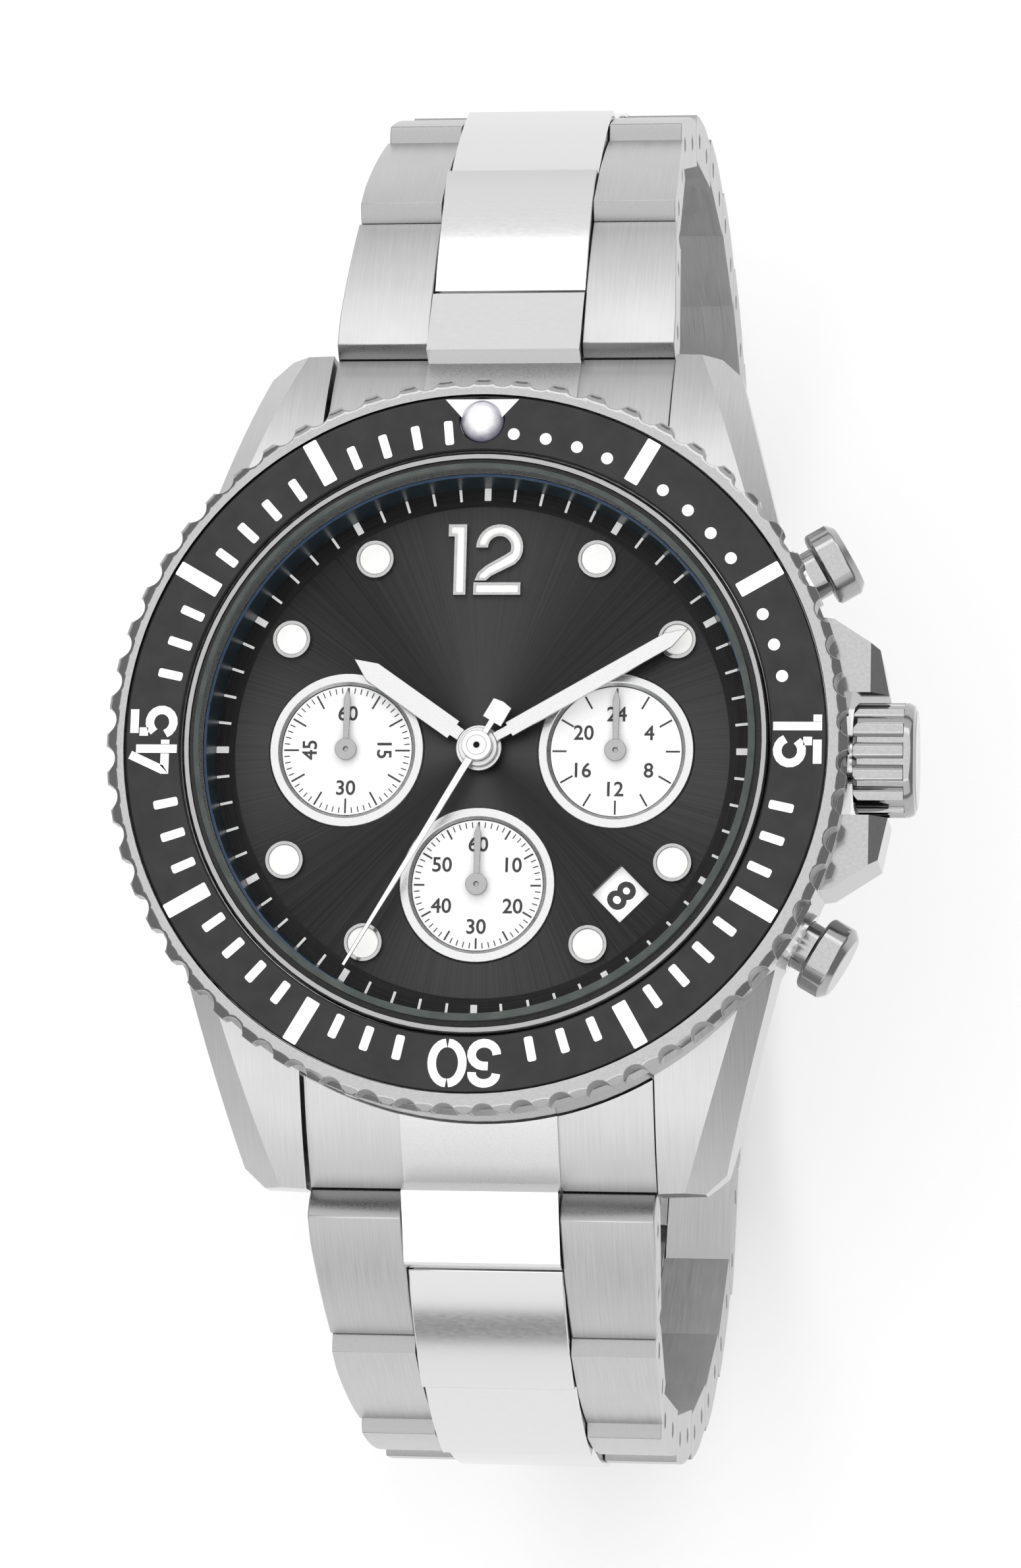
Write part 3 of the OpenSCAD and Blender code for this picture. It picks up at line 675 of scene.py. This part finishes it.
def bezel_marks():
    """White marks of the insert: triangle, dots, bars and numbers."""
    thick = 0.03
    top = printed_at(INSERT_Z, thick)
    dotted = [m for m in range(1, 14) if m % 5]
    marks = set_round(dot(0.68 * SCALE, thick), [6 * m for m in dotted], 17.67 * SCALE, top)
    under_numbers = (29, 31, 44, 46)
    short = [m for m in range(17, 60) if m % 5 and m not in under_numbers]
    marks += set_round(bar(0.5, 1.4 * SCALE, thick, 0.12), [6 * m for m in short],
                       17.75 * SCALE, top)
    marks += set_round(bar(0.85, 2.7 * SCALE, thick, 0.08),
                       [30 * h for h in (1, 2, 4, 5, 7, 8, 10, 11)], 18.4 * SCALE, top)
    for number, angle in (("15", 90), ("30", 180), ("45", 270)):
        marks += set_round(stencil(number, 2.72 * SCALE, 0.48, thick), [angle],
                           18.2 * SCALE, top)
    points = [(-2.1, 0), (2.1, 0), (0, -2.3)]
    bpy.ops.mesh.primitive_cylinder_add(vertices=3, radius=MM, depth=thick * MM)
    triangle = bpy.context.object
    for vert in triangle.data.vertices:
        x, y = points[vert.index // 2]
        vert.co.x, vert.co.y = x * MM, y * MM
    edit_all(triangle)
    bpy.ops.mesh.normals_make_consistent(inside=False)
    done_editing()
    marks += set_round(triangle, [0], 19.6 * SCALE, top)
    fit_out(smooth(joined(marks, "bezel_marks")), "bezel", "printed_white", WHITE)


# Dial

def figure(text, tall, height, weight=0.0):
    """A number in plain letters, centred on the dial's centre, tall millimetres high."""
    bpy.ops.object.select_all(action="DESELECT")
    bpy.ops.object.text_add()
    obj = bpy.context.object
    obj.data.body = text
    obj.data.align_x, obj.data.align_y = "CENTER", "CENTER"
    obj.data.size = tall / 0.7 * MM
    obj.data.offset = weight * MM
    obj.data.extrude = height / 2 * MM
    obj.data.resolution_u = 4
    only(obj)
    bpy.ops.object.convert(target="MESH")
    obj = bpy.context.object
    edit_all(obj)
    bpy.ops.mesh.remove_doubles(threshold=1e-7)
    done_editing()
    low, high = (Vector(map(f, zip(*(v.co for v in obj.data.vertices)))) for f in (min, max))
    return moved(obj, Matrix.Translation(-(low + high) / 2))


def minute_track():
    """Sixty ticks round the dial, with a block at each fifth."""
    thick = 0.02
    top = printed_at(DIAL_Z, thick)
    ticks = set_round(bar(0.15, TRACK_LONG, thick, 0.03), [6 * m for m in range(60) if m % 5],
                      TRACK_AT, top)
    ticks += set_round(bar(0.38, TRACK_LONG, thick, 0.03), [30 * h for h in range(12)],
                       TRACK_AT, top)
    fit_out(joined(ticks, "minute_track"), "case", "printed_white", WHITE)


def subdial_face(name):
    """A thin disc with fine circular grooves, holed for its hand's post."""
    x, y = SUBDIALS[name]
    floor = DIAL_Z - SUBDIAL_FLOOR * MM
    hole, rim, grooves, depth, thick = 0.32, 3.72 * SCALE, 26, 0.012, 0.06
    bpy.ops.mesh.primitive_circle_add(vertices=96, radius=hole * MM,
                                      location=(x * MM, y * MM, floor))
    obj = bpy.context.object
    edit_all(obj)
    step = (rim - hole) / grooves
    for i in range(2 * grooves):
        out = hole + step * (i + 1) / 2
        back = hole + step * i / 2
        bpy.ops.mesh.extrude_region_move()
        bpy.ops.transform.resize(value=(out / back, out / back, 1))
        lift = (thick if i == 0 else 0) + (depth if i % 2 == 0 else -depth)
        bpy.ops.transform.translate(value=(0, 0, lift * MM))
    bpy.ops.mesh.extrude_region_move()
    bpy.ops.transform.translate(value=(0, 0, -thick * MM))
    bpy.ops.mesh.select_all(action="SELECT")
    bpy.ops.mesh.normals_make_consistent(inside=False)
    done_editing()
    settle(obj)
    if sum(face.normal.z * face.area for face in obj.data.polygons) < 0:
        edit_all(obj)
        bpy.ops.mesh.flip_normals()
        done_editing()
    obj.name = name + "_face"
    smooth(obj, 40)
    return fit_out(obj, "case", "printed_white", SUBDIAL_WHITE)


def subdial_print(name, fine, mark, figures, figure_at, tall):
    """Black ticks and figures of one subdial, in millimetres at a scale of 1.

    mark is the length of the twelve long marks; fine adds the short ones between them;
    figures holds (text, angle, upright)."""
    x, y = SUBDIALS[name]
    thick = 0.02
    top = DIAL_Z - SUBDIAL_PRINT * MM
    rim = 3.62 * SCALE
    marks = set_round(bar(0.1, mark * SCALE, thick, 0.01), range(0, 360, 30),
                      rim - mark / 2 * SCALE, top, (x, y))
    if fine:
        between = [a for a in range(0, 360, 6) if a % 30]
        marks += set_round(bar(0.055, 0.32 * SCALE, thick, 0.01), between,
                           rim - 0.16 * SCALE, top, (x, y))
    for text, angle, upright in figures:
        number = figure(text, tall * SCALE, thick, 0.015)
        spot = clockwise(angle) @ Vector((0, figure_at * SCALE * MM, 0))
        turn = Matrix.Identity(4) if upright else clockwise(angle)
        moved(number, Matrix.Translation(spot + Vector((x * MM, y * MM, top))) @ turn)
        marks.append(number)
    fit_out(joined(marks, name + "_print"), "case", "dial_black", BLACK)


def applied_marks():
    """Round markers and the numeral: silver frames filled with luminous paint."""
    def filled_below(height):
        top = DIAL_Z / MM + height
        return lambda centre, normal: 1 if normal.z > 0.9 and centre.z < top else 0

    # The frames take the darkened steel as painted shade; the luminous fill's faint glow is
    # painted light.
    dressed("hour_markers", "marker_cups", "case", "polished_steel", [SHADED, LUME_GLOW], 0.03,
            choose=filled_below(0.3))
    dressed("numeral_12", "numeral_frame", "case", "polished_steel", [SHADED, LUME_GLOW],
            choose=filled_below(0.35))


def date_figures():
    """Days of the month round the date ring, read at the window."""
    thick = 0.02
    top = printed_at(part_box("date_ring")[1].z, thick)
    numbers = []
    shown, window, step = 8, 135, 360 / 31      # the day in the window, its angle, one day's turn
    for day in range(1, 32):
        number = figure(str(day), 1.7 * SCALE, thick, 0.05)
        turn = clockwise(window + (shown - day) * step)
        upright = Matrix.Rotation(radians(90), 4, "Z")
        numbers.append(moved(number, turn @ place(0, 11.5 * SCALE, top) @ upright))
    fit_out(joined(numbers, "date_figures"), "date_ring", "dial_black", BLACK)


def dial_group():
    minute_track()
    for name in SUBDIALS:
        subdial_face(name)
    tall = 0.82
    quarters = [("60", 0, True), ("15", 90, False), ("30", 180, True), ("45", 270, False)]
    tens = [(str(10 * k or 60), 60 * k, True) for k in range(6)]
    hours = [(str(4 * k or 24), 60 * k, True) for k in range(6)]
    subdial_print("minutes", True, 0.85, quarters, 2.15, tall)
    subdial_print("seconds", True, 0.6, tens, 2.35, tall)
    subdial_print("day", False, 0.8, hours, 2.15, tall)
    applied_marks()
    date_figures()
    dressed("subdial_rings", "subdial_frames", "case", "steel", [SILVER], 0.03)
    wall = flange_lacquer("flange_wall", (0.012, 0.021, 0.027), (0.020, 0.033, 0.042), 0.32)
    edge = flange_lacquer("flange_edge", (0.05, 0.09, 0.16), (0.07, 0.11, 0.19), 0.3)
    dressed("inner_flange", "flange_ring", "case", "dial_black", [wall, edge],
            choose=lambda centre, normal: 1 if normal.z > 0.7 else 0)


# Hands

def hub_silver():
    """Satin silver with two turned rings and painted shade: a dark pivot hole and a dark line
    between the rings.
    """
    mat = satin_silver("hub_silver", grey(0.66), grey(0.74))
    tree = mat.node_tree
    shader = tree.nodes["Principled BSDF"]
    rings = add(tree, "ValToRGB")
    # Painted shade: near black in the middle for the pivot hole, and a dark line at 0.56 between
    # the turned rings.
    stops = [(0.0, 0.01), (0.17, 0.01), (0.2, 0.6), (0.52, 0.7), (0.56, 0.25), (0.6, 0.7),
             (1.0, 0.7)]
    while len(rings.color_ramp.elements) < len(stops):
        rings.color_ramp.elements.new(0.5)
    for element, (at, level) in zip(rings.color_ramp.elements, stops):
        element.position = at
        element.color = (*grey(level), 1)
    tree.links.new(span(tree, radius(tree), 0, 1, 0, 1 * MM), rings.inputs["Fac"])
    tree.links.new(rings.outputs["Color"], shader.inputs["Base Color"])
    return mat


def hands():
    for name in ("hour_hand", "minute_hand"):
        dressed(name, name + "_metal", name, "steel", [SILVER], 0.03)
    dressed("chrono_seconds_hand", "chrono_seconds_hand_metal", "chrono_seconds_hand", "steel",
            [hub_silver()], 0.03)
    for name in ("small_seconds_hand", "chrono_minutes_hand", "day_hand"):
        dressed(name, name + "_metal", name, "steel", [GREY], 0.02)


# Bracelet and clasp

HINGES = {joint["child"]: Vector(joint["pos_m"]) / MM for joint in frame["joints"]
          if joint["child"].startswith("link_")}
KNUCKLE = (HINGES["link_12_2"] - HINGES["link_12_1"]).length / 4    # radius of a rounded end
KNUCKLE_PLAY, FACES_OUT = 0.15, 0.93             # how near to it, and how square, a face must be


def link_finish(near, far):
    """Polished middle row between satin outer rows, with rounded ends about the hinges greyed as
    painted shade at the seams.
    """
    def choose(centre, normal):
        middle = abs(centre.x) < MIDDLE_ROW
        out = (centre - (far if middle else near)).yz
        round_end = abs(out.length - KNUCKLE) < KNUCKLE_PLAY
        # Painted shade: faces on a rounded end by a seam take the grey finish.
        if round_end and out.normalized().dot(normal.yz) > FACES_OUT:
            return 2
        return 1 if middle else 0
    return choose


def bracelet():
    for side in ("12", "6"):
        for n in range(1, 9):
            link = f"link_{side}_{n}"
            near, far = HINGES[link], HINGES.get(f"link_{side}_{n + 1}", HINGES[link])
            dressed(link, f"row_{side}_{n}", link, "steel", [BRUSHED, POLISHED, GREY], 0.3,
                    choose=link_finish(near, far))
    dressed("clasp_cover", "clasp_shell", "clasp_cover", "steel", [BRUSHED], 0.1)
    dressed("clasp_outer_blade", "clasp_long_blade", "clasp_outer_blade", "polished_steel",
            [POLISHED], 0.08)
    dressed("clasp_inner_blade", "clasp_short_blade", "clasp_inner_blade", "polished_steel",
            [POLISHED], 0.08)


def repaint():
    """Finishes of the CAD nodes that stay as they are."""
    fine_wire = (60000, 60000, 60000)
    brass = movement_metal("brass", (0.55, 0.42, 0.2), (0.72, 0.57, 0.3))
    nickel = movement_metal("nickel", (0.5, 0.5, 0.49), (0.68, 0.68, 0.67))
    copper = movement_metal("copper_wire", (0.5, 0.22, 0.1), (0.75, 0.36, 0.18), fine_wire)
    gasket = rubber()
    stay = {
        "case_back": BRUSHED,
        "case_back_gasket": gasket,
        "crystal_gasket": gasket,
        "dial": dial_black(),
        "main_plate": brass,
        "movement_holder": painted("holder_plastic", (0.5, 0.5, 0.48), (0.62, 0.62, 0.6)),
        "battery": nickel,
        "circuit_board": painted("green_board", (0.01, 0.07, 0.03), (0.02, 0.12, 0.05)),
        "motor_coils": copper,
        "movement_cover": nickel,
        "crown_tube": POLISHED,
        "pusher_tubes": POLISHED,
        "click_spring": nickel,
        "spring_bars": nickel,
        "crown_gasket": gasket,
        "setting_stem": nickel,
        "date_ring": date_paper(),
        "motion_wheel": brass,
        "clasp_bar": POLISHED,
        "clasp_end_bar": POLISHED,
    }
    for node, mat in stay.items():
        for slot in NODES[node].material_slots:
            slot.link = "OBJECT"
            slot.material = mat


# Floor, light and camera

def studio():
    """A plain pale floor, a soft world and three softboxes."""
    floor_mat, tree, shader = finish("pale_floor", grey(0.9), 0, 0.8, Emission_Strength=0.1)
    shader.inputs["Emission Color"].default_value = (1, 1, 1, 1)
    tint(tree, shader, grain(tree, 3), grey(0.88), grey(0.92))
    bpy.ops.mesh.primitive_plane_add(size=3, location=(0, 0, cad_low.z))
    floor = settle(bpy.context.object)
    floor.name = "floor"
    floor.data.materials.append(floor_mat)
    world = bpy.data.worlds.new("studio")
    bpy.context.scene.world = world
    world.use_nodes = True
    world.node_tree.nodes["Background"].inputs["Color"].default_value = (1, 1, 1, 1)
    world.node_tree.nodes["Background"].inputs["Strength"].default_value = 0.36
    softbox("overhead", (0, 0.05, 0.7), 1.2, 2.1, 1.25)
    softbox("behind_12", (0, 1.0, 0.45), 1.4, 0.7, 0.7)
    softbox("before_6", (0, -1.0, 0.45), 1.4, 0.7, 0.85)


def softbox(name, at, wide, high, radiance):
    """A large soft light that faces the watch."""
    bpy.ops.object.light_add(type="AREA", location=at)
    lamp = bpy.context.object
    lamp.name = name
    lamp.data.shape = "RECTANGLE"
    lamp.data.size, lamp.data.size_y = wide, high
    lamp.data.energy = radiance * pi * wide * high
    lamp.rotation_euler = Vector(at).to_track_quat("Z", "Y").to_euler()


def camera():
    """Looks down at the dial, a little from 6 o'clock and from the crown's side."""
    data = bpy.data.cameras.new("camera")
    cam = bpy.data.objects.new("camera", data)
    bpy.context.scene.collection.objects.link(cam)
    bpy.context.scene.camera = cam
    data.sensor_fit = "HORIZONTAL"
    data.sensor_width = 36
    data.lens = 177.5
    data.clip_start, data.clip_end = 0.01, 10
    tilt, lean, swing = 9.904, 7.308, 1.545      # degrees about X, Y and Z, from straight down
    turn = Euler((radians(tilt), radians(lean), radians(swing))).to_matrix().to_4x4()
    cam.matrix_world = place(38.73, -49.90, DIAL_Z + 278.24 * MM) @ turn


camera()
case_group()
bezel_marks()
dial_group()
hands()
bracelet()
repaint()
studio()
bpy.context.scene.view_settings.view_transform = "Standard"
